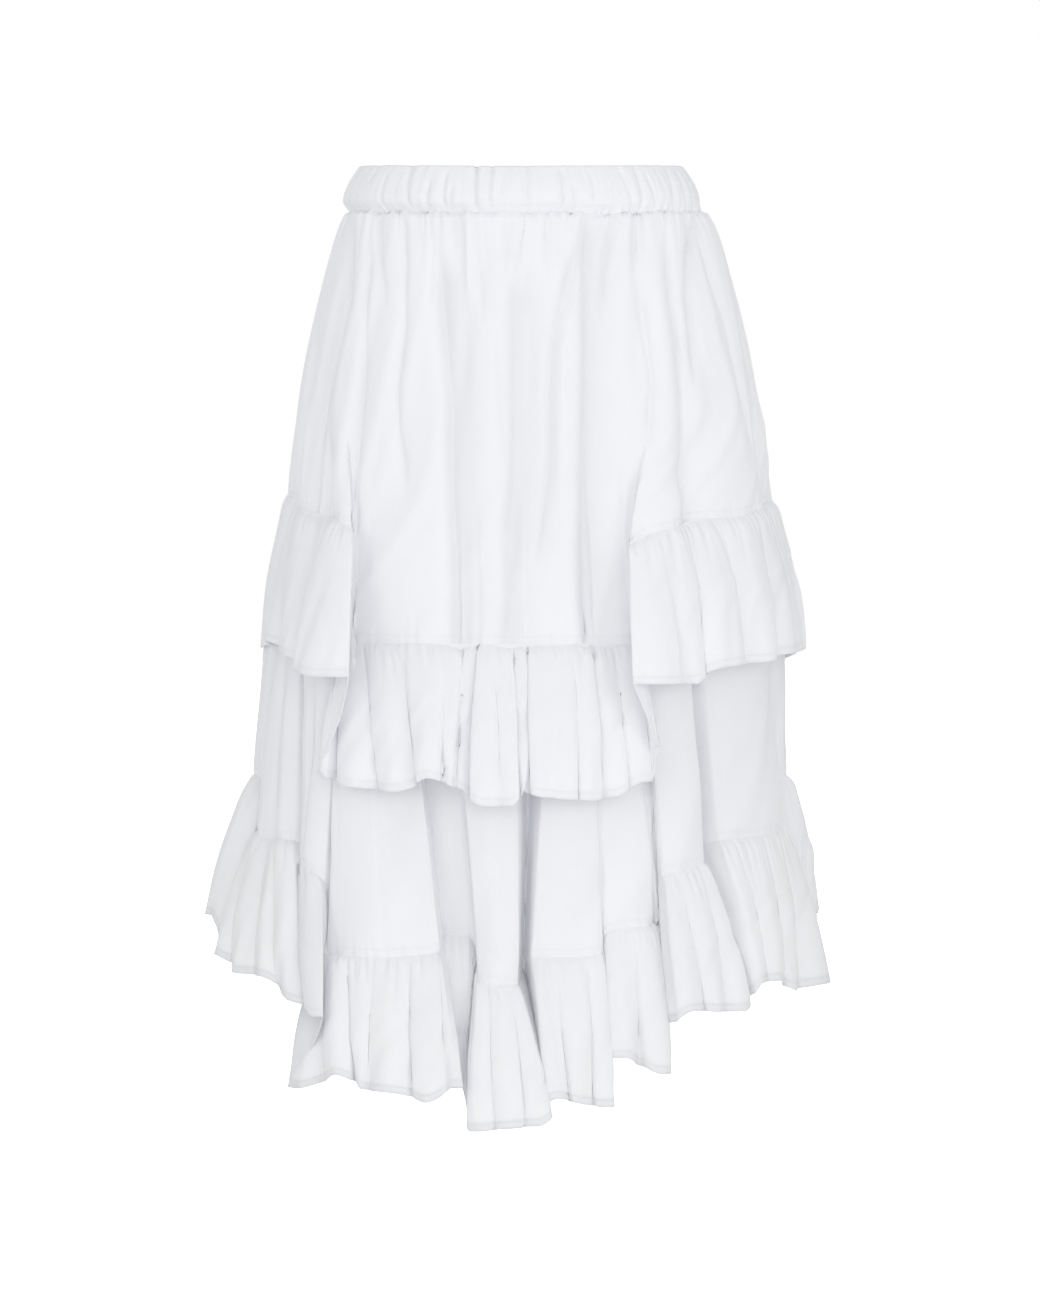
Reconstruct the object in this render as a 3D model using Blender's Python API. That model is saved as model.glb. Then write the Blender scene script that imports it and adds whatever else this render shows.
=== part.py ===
"""A knee-length tiered ruffle skirt, filled out as if worn and hollow inside.

Metres, +Z up. The origin is the centre of the waist at the top of the waistband, the front
faces -Y and the garment hangs below. Going round the body, 0 degrees is the centre front,
90 the wearer's left side seam (+X), 180 the centre back and 270 the other side seam.

Each seam and each hem is one closed line round the body, written as a table of folds. The
panels and the ruffles are thin walls drawn between these lines.
"""

import math
from collections import namedtuple

import bmesh
import bpy
import numpy as np

MM = 0.001

CLOTH = 1.2  # wall thickness of one layer, mm
SEAM_GAP = 0.3  # between two pieces that are sewn together, mm
LAYER_STEP = 1.6  # how far the lower skirt is sewn in behind the ruffle

# Plan ovals that the lines lie on: half width, half depth and centre in X, all in mm.
Oval = namedtuple("Oval", "half_width half_depth centre_x")
WAIST_OVAL = Oval(141, 98, 3)
SEAM_1_OVAL = Oval(189, 152, 8)
HEM_1_OVAL = Oval(212, 172, 7)
SEAM_2_OVAL = Oval(209, 172, -1)
HEM_2_OVAL = Oval(236, 198, -3)

# Waistband casing: drop below the waist line and oval growth from its top edge, in mm.
BAND_TOP_OVAL = Oval(128, 88, 0)
BAND_PROFILE = [
    # drop, growth
    (0.0, 0.0),
    (17.0, 9.5),
    (28.0, 12.5),
    (33.0, 11.0),
]
BAND_WALL = 3.0
BAND_SCALLOPS = 26
SCALLOP_DEPTH = 1.2
BAND_HEIGHT = BAND_PROFILE[-1][0]

SPREAD = 0.58  # the upper skirt widens fast under the waistband, then hangs
SETTLE = 0.75  # the folds of the lower skirt
FLARE = 0.8  # the ruffles flare out at the seam, then hang
PUFF = 3.0  # how far the gathers lift a ruffle off the cloth below it
GATHER = 1.4  # depth of the small gathers at the waist
UPPER_ROWS = 4
LOWER_ROWS = 2
RUFFLE_ROWS = 2
FRONT_SHARES = (0.0, 0.15, 0.5, 0.85)  # where along a flute its wall is cut
BACK_SHARES = (0.0, 0.25, 0.75)
EDGE_ROUND = 5.0  # how far the edge of a fold lies behind its crown, at most
EDGE_SHARE = 0.22  # the same as a share of the fold's width

# One row for each fold. It goes round from `begins` to `ends` (degrees) and stands `out` mm
# off the oval. The three drops are the height of the line under the waist, in mm, where the
# fold begins, at its crown and where it ends. `tuck` and `tuck_out` are where the cloth
# turns in behind it. A fold that begins before the last one ends is lapped under or over it.
Fold = namedtuple("Fold", "name begins ends out drop_a drop_b drop_c tuck tuck_out")

SEAM_1 = [
    Fold("side_left", -80.0, -64.0, 2, 266, 270, 274, -60.0, -18),
    Fold("lap_left", -52.5, -42.4, 22, 277, 281, 287, -45.5, 6),
    Fold("strip_left", -47.6, -49.2, -6, 328, 346, 362, -49.0, -9),
    Fold("front_left", -48.6, -18.5, -4, 374, 374, 374, -19.5, -16),
    Fold("tuck_left", -20.0, -17.0, -26, 374, 374, 374, -15.5, -16),
    Fold("front_mid", -14.0, -2.5, 2, 374, 374, 374, -0.5, -26),
    Fold("front_right", 3.0, 13.5, 0, 374, 374, 374, 16.0, -16),
    Fold("turn_right", 19.0, 24.4, -6, 374, 374, 374, 25.0, -6),
    Fold("strip_right", 25.0, 24.0, 1, 362, 345, 326, 22.8, 11),
    Fold("lap_right", 21.6, 34.5, 22, 298, 287, 284, 37.0, -16),
    Fold("side_right", 40.0, 69.0, 9, 278, 276, 270, 82.0, -6),
    Fold("back_1", 93.0, 108.0, 7, 264, 264, 268, 112.5, -12),
    Fold("back_2", 117.0, 136.0, 8, 274, 282, 290, 140.0, -18),
    Fold("back_3", 144.0, 158.0, 4, 298, 306, 312, 161.5, -12),
    Fold("back_4", 166.0, 178.0, 8, 318, 322, 324, 181.0, -20),
    Fold("back_5", 185.0, 202.0, 6, 324, 320, 313, 206.0, -14),
    Fold("back_6", 210.0, 222.0, 4, 305, 298, 291, 226.5, -16),
    Fold("back_7", 231.0, 248.0, 8, 283, 275, 268, 252.0, -15),
    Fold("back_8", 256.0, 270.0, 3, 262, 258, 258, 275.0, -8),
]

SEAM_2 = [
    Fold("side_left", -84.0, -73.0, 2, 522, 526, 528, -70.5, -4),
    Fold("lap_left", -67.5, -57.5, 4, 527, 527, 528, -54.0, -22),
    Fold("strip_left", -52.0, -43.6, 8, 543, 548, 558, -42.6, -2),
    Fold("front_left", -41.5, -16.5, 12, 613, 615, 609, -19.0, -34),
    Fold("tuck_left", -25.0, -14.0, -70, 599, 599, 599, -11.5, -40),
    Fold("front_mid", -8.5, -0.5, 8, 632, 635, 635, 1.0, -90),
    Fold("front_right", 2.5, 17.5, 8, 614, 614, 611, 18.0, -1),
    Fold("turn_right", 19.0, 28.8, 2, 595, 592, 591, 30.6, -10),
    Fold("strip_right", 30.6, 31.0, -14, 582, 575, 566, 31.2, -16),
    Fold("lap_right", 31.0, 42.5, 8, 553, 548, 544, 45.0, -26),
    Fold("side_right", 48.0, 79.0, 2, 527, 525, 520, 85.0, -10),
    Fold("back_1", 92.0, 107.0, 4, 480, 482, 488, 112.0, -24),
    Fold("back_2", 117.0, 137.0, 10, 496, 506, 514, 141.0, -30),
    Fold("back_3", 146.0, 159.0, 4, 522, 528, 534, 162.5, -24),
    Fold("back_4", 167.0, 180.0, 12, 538, 542, 544, 183.0, -38),
    Fold("back_5", 187.0, 204.0, 8, 544, 540, 534, 208.0, -24),
    Fold("back_6", 212.0, 224.0, 4, 526, 520, 514, 228.5, -30),
    Fold("back_7", 233.0, 250.0, 10, 506, 496, 488, 254.0, -26),
    Fold("back_8", 258.0, 271.0, 4, 484, 480, 482, 274.0, -12),
]

# Where each fold starts and ends at the waist, in degrees, in the order of the seams' rows.
WAIST_ENDS = [-84, -74, -60, -54, -29, -24, 0, 23.5, 38, 40, 55]
WAIST_ENDS += [84, 108, 132, 154, 178, 203, 226, 250, 276]

# The hems of the ruffles, one row for each flute, in the same terms. `fold` is the fold of
# the seam that the flute hangs from.
Flute = namedtuple("Flute", "fold begins ends out drop tuck_out")

HEM_1_FRONT = [
    Flute("side_left", -83.0, -71.0, 8, 374, 2),
    Flute("side_left", -70.0, -62.5, 15, 384, 22),
    Flute("lap_left", -55.0, -45.5, 29, 397, 20),
    Flute("lap_left", -44.0, -36.0, 30, 401, 14),
    Flute("strip_left", -38.5, -40.5, 12, 452, 11),
    Flute("front_left", -42.0, -37.5, 16, 480, 10),
    Flute("front_left", -36.5, -32.5, 18, 485, 6),
    Flute("front_left", -31.0, -27.2, 18, 487, 14),
    Flute("front_left", -26.8, -23.0, 20, 486, 8),
    Flute("front_left", -21.5, -17.5, 22, 476, 8),
    Flute("front_left", -17.0, -15.5, 16, 481, 6),
    Flute("tuck_left", -15.0, -12.5, 10, 485, 9),
    Flute("front_mid", -11.5, -5.6, 24, 497, 12),
    Flute("front_mid", -5.0, -2.2, 20, 497, 8),
    Flute("front_mid", -1.6, -0.5, 14, 485, 6),
    Flute("front_right", 0.2, 4.4, 22, 490, 12),
    Flute("front_right", 5.0, 9.0, 22, 492, 10),
    Flute("front_right", 9.7, 14.0, 20, 493, 8),
    Flute("turn_right", 15.0, 20.0, 14, 490, 6),
    Flute("turn_right", 20.4, 22.2, 18, 480, 22),
    Flute("strip_right", 21.4, 20.0, 26, 445, 28),
    Flute("lap_right", 19.5, 26.0, 30, 403, 18),
    Flute("lap_right", 27.0, 30.5, 24, 405, 14),
    Flute("lap_right", 32.0, 36.0, 20, 404, 6),
    Flute("side_right", 37.0, 41.5, 22, 390, 10),
    Flute("side_right", 43.0, 48.0, 19, 392, 8),
    Flute("side_right", 49.5, 58.5, 18, 388, 6),
    Flute("side_right", 61.0, 78.0, 12, 383, 4),
]

HEM_2_FRONT = [
    Flute("side_left", -76.0, -68.5, 12, 619, 0),
    Flute("side_left", -66.5, -58.5, 12, 631, 0),
    Flute("lap_left", -57.0, -50.0, 12, 632, 4),
    Flute("lap_left", -48.8, -42.4, 14, 648, -8),
    Flute("strip_left", -41.0, -36.8, 16, 660, 0),
    Flute("front_left", -47.0, -40.5, 2, 717, -8),
    Flute("front_left", -36.0, -30.8, 19, 702, 6),
    Flute("front_left", -30.0, -27.6, 15, 708, 4),
    Flute("front_left", -27.0, -19.6, 19, 716, 8),
    Flute("front_left", -18.2, -13.4, 20, 721, 4),
    Flute("front_left", -12.6, -9.6, 16, 711, -8),
    Flute("tuck_left", -15.0, -11.0, -20, 714, -12),
    Flute("front_mid", -8.5, -4.2, 24, 744, 14),
    Flute("front_mid", -3.4, 0.8, 26, 742, 16),
    Flute("front_mid", 1.5, 5.6, 22, 738, 8),
    Flute("front_right", 5.0, 9.0, 12, 720, 4),
    Flute("front_right", 9.6, 13.2, 18, 724, 8),
    Flute("front_right", 13.8, 17.3, 15, 727, -4),
    Flute("turn_right", 17.6, 22.4, 8, 690, -2),
    Flute("turn_right", 24.4, 28.0, 12, 703, 0),
    Flute("strip_right", 28.4, 28.8, -4, 676, -8),
    Flute("lap_right", 29.5, 34.9, 18, 651, 2),
    Flute("lap_right", 35.5, 39.5, 20, 658, 6),
    Flute("lap_right", 40.3, 45.3, 18, 657, -4),
    Flute("side_right", 46.4, 50.2, 16, 636, 4),
    Flute("side_right", 51.2, 55.6, 18, 635, 4),
    Flute("side_right", 56.6, 61.0, 18, 644, 4),
    Flute("side_right", 63.5, 77.0, 18, 641, -2),
]

# Behind, every fold carries two plain flutes: where they lie along it, how far out they
# stand and how far the tuck after them falls back.
BackFlute = namedtuple("BackFlute", "from_share to_share out tuck_out extra_drop")
BACK_FLUTES = [
    BackFlute(-0.10, 0.42, 15, 5, 0),
    BackFlute(0.54, 1.12, 11, 2, 5),
]
BACK_RUFFLE_DEPTH_1 = 117
BACK_RUFFLE_DEPTH_2 = 106

WHITE_COTTON = (0.86, 0.87, 0.90, 1.0)


def smooth_through(knots, values, at):
    """A curve through the values that never swings past them (monotone cubic)."""
    gaps = np.diff(knots)
    slopes = np.diff(values) / gaps
    before, after = slopes[:-1], slopes[1:]
    weight_a = gaps[:-1] + 2 * gaps[1:]
    weight_b = 2 * gaps[:-1] + gaps[1:]
    level = before * after <= 0
    safe_before = np.where(level, 1, before)
    safe_after = np.where(level, 1, after)
    inner = (weight_a + weight_b) / (weight_b / safe_before + weight_a / safe_after)
    tangents = np.concatenate([slopes[:1], np.where(level, 0, inner), slopes[-1:]])
    i = np.clip(np.searchsorted(knots, at, side="right") - 1, 0, len(gaps) - 1)
    t = (at - knots[i]) / gaps[i]
    a, b = values[i], values[i + 1]
    m, n = tangents[i] * gaps[i], tangents[i + 1] * gaps[i]
    return (
        (2 * t**3 - 3 * t**2 + 1) * a
        + (t**3 - 2 * t**2 + t) * m
        + (3 * t**2 - 2 * t**3) * b
        + (t**3 - t**2) * n
    )


def round_the_body(knots, angles, outs, drops, oval, at):
    """Points (mm) of a closed line, from its knots along the cloth."""
    turns = len(SEAM_1)
    lap = 5  # knots repeated at each end, so that the line closes smoothly

    def closed(values, step):
        return np.concatenate([values[-lap:] - step, values, values[:lap] + step])

    along = closed(np.array(knots, float), turns)
    angle = smooth_through(along, closed(np.array(angles, float), 360), at)
    out = smooth_through(along, closed(np.array(outs, float), 0), at)
    drop = smooth_through(along, closed(np.array(drops, float), 0), at)
    turn = np.radians(angle)
    x = oval.centre_x + (oval.half_width + out) * np.sin(turn)
    y = -(oval.half_depth + out) * np.cos(turn)
    return np.stack([x, y, -drop], axis=1)


def edge_fall(fold, oval):
    width = math.radians(abs(fold.ends - fold.begins)) * oval.half_depth
    return min(EDGE_ROUND, EDGE_SHARE * width)


def seam_line(folds, oval, at):
    knots, angles, outs, drops = [], [], [], []
    for index, fold in enumerate(folds):
        follower = folds[(index + 1) % len(folds)]
        fall = edge_fall(fold, oval)
        knots += [index + 0.12, index + 0.5, index + 0.88, index + 1]
        angles += [fold.begins, (fold.begins + fold.ends) / 2, fold.ends, fold.tuck]
        outs += [fold.out - fall, fold.out, fold.out - fall, fold.tuck_out]
        drops += [fold.drop_a, fold.drop_b, fold.drop_c, (fold.drop_c + follower.drop_a) / 2]
    return round_the_body(knots, angles, outs, drops, oval, at)


def back_flutes(seam, depth):
    """Two flutes for each fold of the back, as deep as the ruffle is there."""
    flutes = []
    for fold in seam:
        if not fold.name.startswith("back"):
            continue
        width = fold.ends - fold.begins
        for flute in BACK_FLUTES:
            flutes.append(
                Flute(
                    fold.name,
                    fold.begins + flute.from_share * width,
                    fold.begins + flute.to_share * width,
                    flute.out,
                    fold.drop_b + depth + flute.extra_drop,
                    flute.tuck_out,
                )
            )
    return flutes


def flutes_of(fold_name, flutes):
    return [flute for flute in flutes if flute.fold == fold_name]


def hem_line(flutes, oval, at):
    knots, angles, outs, drops = [], [], [], []
    ordered = [flute for fold in SEAM_1 for flute in flutes_of(fold.name, flutes)]
    place = 0
    for index, fold in enumerate(SEAM_1):
        own = flutes_of(fold.name, flutes)
        for number, flute in enumerate(own):
            place += 1
            follower = ordered[place % len(ordered)]
            next_begins = follower.begins + (360 if place == len(ordered) else 0)
            fall = edge_fall(flute, oval)
            middle = (flute.begins + flute.ends) / 2
            knots += [index + (number + share) / len(own) for share in (0.15, 0.5, 0.85, 1)]
            angles += [flute.begins, middle, flute.ends, (flute.ends + next_begins) / 2]
            outs += [flute.out - fall, flute.out, flute.out - fall, flute.tuck_out]
            drops += [flute.drop, flute.drop, flute.drop, (flute.drop + follower.drop) / 2]
    return round_the_body(knots, angles, outs, drops, oval, at)


def waist_line(at):
    """The top edge of the panels: the waist oval with a small gather at every flute."""
    ends = np.array(WAIST_ENDS, float)
    index = np.floor(at).astype(int) % len(SEAM_1)
    share = at - np.floor(at)
    turn = np.radians(ends[index] + share * (ends[index + 1] - ends[index]))
    counts = np.array([len(flutes_of(fold.name, HEM_1)) for fold in SEAM_1])[index]
    out = -GATHER * 0.5 * (1 + np.cos(2 * math.pi * share * counts))
    x = WAIST_OVAL.centre_x + (WAIST_OVAL.half_width + out) * np.sin(turn)
    y = -(WAIST_OVAL.half_depth + out) * np.cos(turn)
    return np.stack([x, y, np.full_like(x, -(BAND_HEIGHT + SEAM_GAP))], axis=1)


def stations():
    """Places along the cloth that every panel and ruffle is cut through."""
    places = []
    for index, fold in enumerate(SEAM_1):
        count = len(flutes_of(fold.name, HEM_1))
        shares = BACK_SHARES if fold.name.startswith("back") else FRONT_SHARES
        for number in range(count):
            places += [index + (number + share) / count for share in shares]
    return np.array(places)


def outward(line):
    """Unit vectors that point off the body, level, at each point of a closed line."""
    along = np.roll(line, -1, axis=0) - np.roll(line, 1, axis=0)
    facing = np.stack([along[:, 1], -along[:, 0], np.zeros(len(line))], axis=1)
    return facing / np.linalg.norm(facing, axis=1, keepdims=True)


def rows_between(top, bottom, count, bend, puff=0.0):
    """Lines from a top edge to a bottom edge; `bend` is how the plan follows the drop."""
    rows = []
    for step in range(count + 1):
        share = step / count
        row = top + (bottom - top) * share
        row[:, :2] = top[:, :2] + (bottom[:, :2] - top[:, :2]) * share**bend
        row += outward(row) * puff * math.sin(math.pi * share)
        rows.append(row)
    return rows


def wall(rows):
    """Outer and inner points of a layer of cloth, as arrays [row, place, xyz]."""
    outer = np.array(rows)
    inner = np.array([row - CLOTH * outward(row) for row in rows])
    return outer, inner


def cut_at_side_seams(points, first, last):
    """The stretch from station `first` to `last`, each end trimmed by half a seam gap."""
    count = points.shape[1]
    picked = points[:, [place % count for place in range(first, last + 1)]].copy()
    for end, neighbour in ((0, 1), (-1, -2)):
        towards = picked[:, neighbour] - picked[:, end]
        towards /= np.linalg.norm(towards, axis=1, keepdims=True)
        picked[:, end] += towards * SEAM_GAP / 2
    return picked


def add_material(name, roughness):
    material = bpy.data.materials.new(name)
    material.use_nodes = True
    shader = material.node_tree.nodes["Principled BSDF"]
    shader.inputs["Base Color"].default_value = WHITE_COTTON
    shader.inputs["Roughness"].default_value = roughness
    shader.inputs["Metallic"].default_value = 0.0
    return material


def add_object(name, shape, roughness):
    mesh = bpy.data.meshes.new(name)
    shape.to_mesh(mesh)
    shape.free()
    mesh.shade_smooth()
    mesh.set_sharp_from_angle(angle=math.radians(60))
    obj = bpy.data.objects.new(name, mesh)
    obj.data.materials.append(add_material(name + "_cloth", roughness))
    bpy.context.scene.collection.objects.link(obj)
    return obj


def add_wall(name, outer, inner, roughness):
    """A closed wall from two grids of points: its faces and the four edges between them."""
    shape = bmesh.new()
    rows, columns, _ = outer.shape
    sides = [
        [[shape.verts.new(point * MM) for point in row] for row in grid]
        for grid in (outer, inner)
    ]

    def face_pair(a, b, c, d):
        shape.faces.new((a, b, c))
        shape.faces.new((a, c, d))

    out, back = sides
    for r in range(rows - 1):
        for c in range(columns - 1):
            face_pair(out[r][c], out[r + 1][c], out[r + 1][c + 1], out[r][c + 1])
            face_pair(back[r][c], back[r][c + 1], back[r + 1][c + 1], back[r + 1][c])
        face_pair(out[r][0], back[r][0], back[r + 1][0], out[r + 1][0])
        face_pair(out[r][-1], out[r + 1][-1], back[r + 1][-1], back[r][-1])
    for c in range(columns - 1):
        face_pair(out[0][c], out[0][c + 1], back[0][c + 1], back[0][c])
        face_pair(out[-1][c], back[-1][c], back[-1][c + 1], out[-1][c + 1])
    return add_object(name, shape, roughness)


def add_waistband():
    """The gathered casing: one ring whose wall is scalloped by the elastic inside it."""
    count = 2 * BAND_SCALLOPS
    outer, inner = [], []
    for drop, growth in BAND_PROFILE:
        for ring, inset in ((outer, 0.0), (inner, BAND_WALL)):
            points = []
            for place in range(count):
                turn = 2 * math.pi * place / count
                off = growth - inset - SCALLOP_DEPTH * (place % 2)
                x = (BAND_TOP_OVAL.half_width + off) * math.sin(turn)
                y = -(BAND_TOP_OVAL.half_depth + off) * math.cos(turn)
                points.append((x * MM, y * MM, -drop * MM))
            ring.append(points)
    shape = bmesh.new()
    loops = outer + inner[::-1]
    rings = [[shape.verts.new(point) for point in points] for points in loops]
    for ring, following in zip(rings, rings[1:] + rings[:1]):
        for place in range(count):
            after = (place + 1) % count
            shape.faces.new((ring[place], following[place], following[after], ring[after]))
    add_object("waistband", shape, 0.7)


HEM_1 = HEM_1_FRONT + back_flutes(SEAM_1, BACK_RUFFLE_DEPTH_1)
HEM_2 = HEM_2_FRONT + back_flutes(SEAM_2, BACK_RUFFLE_DEPTH_2)


def build_skirt():
    at = stations()
    drop_gap = np.array([0, 0, -SEAM_GAP])
    waist = waist_line(at)
    seam_1 = seam_line(SEAM_1, SEAM_1_OVAL, at)
    seam_2 = seam_line(SEAM_2, SEAM_2_OVAL, at)
    hem_1 = hem_line(HEM_1, HEM_1_OVAL, at)
    hem_2 = hem_line(HEM_2, HEM_2_OVAL, at)
    behind = seam_1 + drop_gap - LAYER_STEP * outward(seam_1)
    layers = {
        "upper": rows_between(waist, seam_1, UPPER_ROWS, SPREAD),
        "ruffle_1": rows_between(seam_1 + drop_gap, hem_1, RUFFLE_ROWS, FLARE, PUFF),
        "lower": rows_between(behind, seam_2, LOWER_ROWS, SETTLE),
        "ruffle_2": rows_between(seam_2 + drop_gap, hem_2, RUFFLE_ROWS, FLARE, PUFF),
    }
    front_folds = sum(not fold.name.startswith("back") for fold in SEAM_1)
    side_seam = int(np.searchsorted(at, front_folds))
    for layer, rows in layers.items():
        outer, inner = wall(rows)
        for half, first, last in (("front", 0, side_seam), ("back", side_seam, len(at))):
            add_wall(
                f"{layer}_{half}",
                cut_at_side_seams(outer, first, last),
                cut_at_side_seams(inner, first, last),
                0.7,
            )
    add_waistband()


def main():
    for obj in list(bpy.data.objects):
        bpy.data.objects.remove(obj, do_unlink=True)
    build_skirt()


main()
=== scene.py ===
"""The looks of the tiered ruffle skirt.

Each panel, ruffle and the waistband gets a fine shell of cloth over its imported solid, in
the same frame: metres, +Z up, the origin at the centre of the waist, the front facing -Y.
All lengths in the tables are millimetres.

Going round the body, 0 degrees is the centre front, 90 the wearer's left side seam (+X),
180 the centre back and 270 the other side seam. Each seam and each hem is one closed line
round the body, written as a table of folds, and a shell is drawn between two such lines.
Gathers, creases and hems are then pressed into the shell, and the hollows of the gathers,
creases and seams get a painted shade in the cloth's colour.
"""

import math
from collections import namedtuple

import bpy
import numpy as np
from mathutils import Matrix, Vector


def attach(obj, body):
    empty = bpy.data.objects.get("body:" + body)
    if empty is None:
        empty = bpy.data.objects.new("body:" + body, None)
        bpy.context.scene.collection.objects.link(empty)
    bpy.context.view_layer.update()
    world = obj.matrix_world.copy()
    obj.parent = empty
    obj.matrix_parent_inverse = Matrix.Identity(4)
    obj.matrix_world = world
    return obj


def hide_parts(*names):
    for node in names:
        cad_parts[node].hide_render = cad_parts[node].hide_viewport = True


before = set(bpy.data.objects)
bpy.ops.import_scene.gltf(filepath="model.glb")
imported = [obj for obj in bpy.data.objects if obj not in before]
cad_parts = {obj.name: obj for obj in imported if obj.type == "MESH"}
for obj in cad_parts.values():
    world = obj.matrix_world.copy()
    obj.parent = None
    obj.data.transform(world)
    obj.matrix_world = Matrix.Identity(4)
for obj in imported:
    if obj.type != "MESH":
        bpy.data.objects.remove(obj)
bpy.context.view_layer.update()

MM = 0.001
TURN = 2 * math.pi

# Plan ovals that the lines lie on: half width, half depth and centre in X, all in mm.
Oval = namedtuple("Oval", "half_width half_depth centre_x")
WAIST_OVAL = Oval(141, 98, 3)
SEAM_1_OVAL = Oval(189, 152, 8)
HEM_1_OVAL = Oval(212, 172, 7)
SEAM_2_OVAL = Oval(209, 172, -1)
HEM_2_OVAL = Oval(236, 198, -3)
BAND_TOP_OVAL = Oval(128, 88, 0)
BAND_HEIGHT = 33.0
SEAM_GAP = 0.3
LAYER_STEP = 1.6  # how far the lower skirt is sewn in behind the ruffle

# How a tube of cloth widens on its way down: 1 is straight, and less is fast at first.
SPREAD = 0.58  # the upper skirt
SETTLE = 0.75  # the lower skirt
FLARE = 0.8  # the ruffles
PUFF = 3.0  # how far the gathers lift a ruffle off the cloth below it

EDGE_ROUND = 5.0  # how far the edge of a fold lies behind its crown, at most
EDGE_SHARE = 0.22  # the same as a share of the fold's width

# One row for each fold. It goes round from `begins` to `ends` (degrees) and stands `out` mm
# off the oval. The three drops are the height of the line under the waist, in mm, where the
# fold begins, at its crown and where it ends. `tuck` and `tuck_out` are where the cloth
# turns in behind it. A fold that begins before the last one ends is lapped under or over it.
Fold = namedtuple("Fold", "name begins ends out drop_a drop_b drop_c tuck tuck_out")
FOLD_KNOTS = (0.12, 0.5, 0.88, 1.0)  # where it begins, crowns, ends and is tucked, as shares of it

SEAM_1 = [
    Fold("side_left", -80, -64, 2, 266, 270, 274, -60, -12),
    Fold("lap_left", -52.5, -44.8, 9, 277, 281, 287, -46.4, 3),
    Fold("strip_left", -47, -47.7, -1, 328, 346, 362, -47.5, -1.5),
    Fold("front_left", -47.1, -17.2, -1, 374, 374, 374, -16.3, -2.5),
    Fold("tuck_left", -15.4, -13.4, -2, 374, 374, 374, -12.6, -2.5),
    Fold("front_mid", -11.7, -1.7, -1, 374, 374, 374, -0.8, -2),
    Fold("front_right", 0.2, 13.3, -1, 374, 374, 374, 14.2, -2),
    Fold("turn_right", 15.2, 24, -1, 374, 374, 374, 24.4, -1.5),
    Fold("strip_right", 24.8, 24.2, 1, 362, 345, 326, 23.3, 5),
    Fold("lap_right", 22.1, 35.8, 12, 298, 287, 283, 38, 6),
    Fold("side_right", 40.5, 69, 9, 278, 276, 270, 82, -6),
    Fold("back_1", 93, 108, 7, 264, 264, 268, 112.5, -12),
    Fold("back_2", 117, 136, 8, 274, 282, 290, 140, -18),
    Fold("back_3", 144, 158, 4, 298, 306, 312, 161.5, -12),
    Fold("back_4", 166, 178, 8, 318, 322, 324, 181, -20),
    Fold("back_5", 185, 202, 6, 324, 320, 313, 206, -14),
    Fold("back_6", 210, 222, 4, 305, 298, 291, 226.5, -16),
    Fold("back_7", 231, 248, 8, 283, 275, 268, 252, -15),
    Fold("back_8", 256, 270, 6, 262, 258, 258, 275, -6),
]

SEAM_2 = [
    Fold("side_left", -84, -73, 2, 522, 526, 528, -70.5, -4),
    Fold("lap_left", -67.5, -58.2, 4, 527, 527, 528, -55.5, -22),
    Fold("strip_left", -54.2, -45.8, 8, 543, 548, 558, -45, -2),
    Fold("front_left", -44.2, -16.5, 12, 613, 615, 609, -18, -18),
    Fold("tuck_left", -19, -12, -20, 599, 599, 599, -10.3, -18),
    Fold("front_mid", -8.5, -0.5, 8, 632, 635, 635, 1, -44),
    Fold("front_right", 2.6, 17.5, 8, 614, 614, 611, 18, -1),
    Fold("turn_right", 19, 29.6, 3, 595, 592, 591, 30.8, -3),
    Fold("strip_right", 31.2, 31.5, -2, 582, 575, 566, 31.2, -4),
    Fold("lap_right", 31.4, 42.5, 7, 553, 548, 544, 45, -26),
    Fold("side_right", 48, 79, 5, 527, 525, 520, 85, -8),
    Fold("back_1", 92, 107, 8, 480, 482, 488, 112, -24),
    Fold("back_2", 117, 137, 10, 496, 506, 514, 141, -30),
    Fold("back_3", 146, 159, 4, 522, 528, 534, 162.5, -24),
    Fold("back_4", 167, 180, 12, 538, 542, 544, 183, -38),
    Fold("back_5", 187, 204, 8, 544, 540, 534, 208, -24),
    Fold("back_6", 212, 224, 4, 526, 520, 514, 228.5, -30),
    Fold("back_7", 233, 250, 10, 506, 496, 488, 254, -26),
    Fold("back_8", 258, 271, 4, 484, 480, 482, 274, -12),
]

# How the cloth is shared out along the waistband: degrees at the first seam, once its folds
# are let out, and degrees at the waist.
WAIST_SHARES = [(-92, -93), (-61, -70), (-32, -41), (-20, -28), (-3, -3), (4, 12), (13, 24)]
WAIST_SHARES += [(26, 39), (40, 53), (66, 77), (90, 95), (112, 112), (180, 179), (248, 250)]

# Where the folds of the lower skirt hang from, counted in folds: a place on its bottom edge
# and the place on the seam above.
LOWER_SHARES = [(0, 0), (0.88, 0.5), (1.12, 0.55), (1.88, 0.72), (2.12, 0.77), (2.88, 1.75)]
LOWER_SHARES += [(3.12, 1.92), (3.88, 3.46), (4.12, 3.52), (4.88, 3.74), (5.12, 3.78)]
LOWER_SHARES += [(5.88, 5.77), (6.12, 6.445), (6.88, 6.9), (7.12, 7.12), (19, 19)]

# The hems of the ruffles, in the same terms: one row for each flute, listed under the fold of
# the seam that it hangs from.
Flute = namedtuple("Flute", "begins ends out drop tuck_out")
FLUTE_KNOTS = (0.15, 0.5, 0.85, 1.0)

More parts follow.
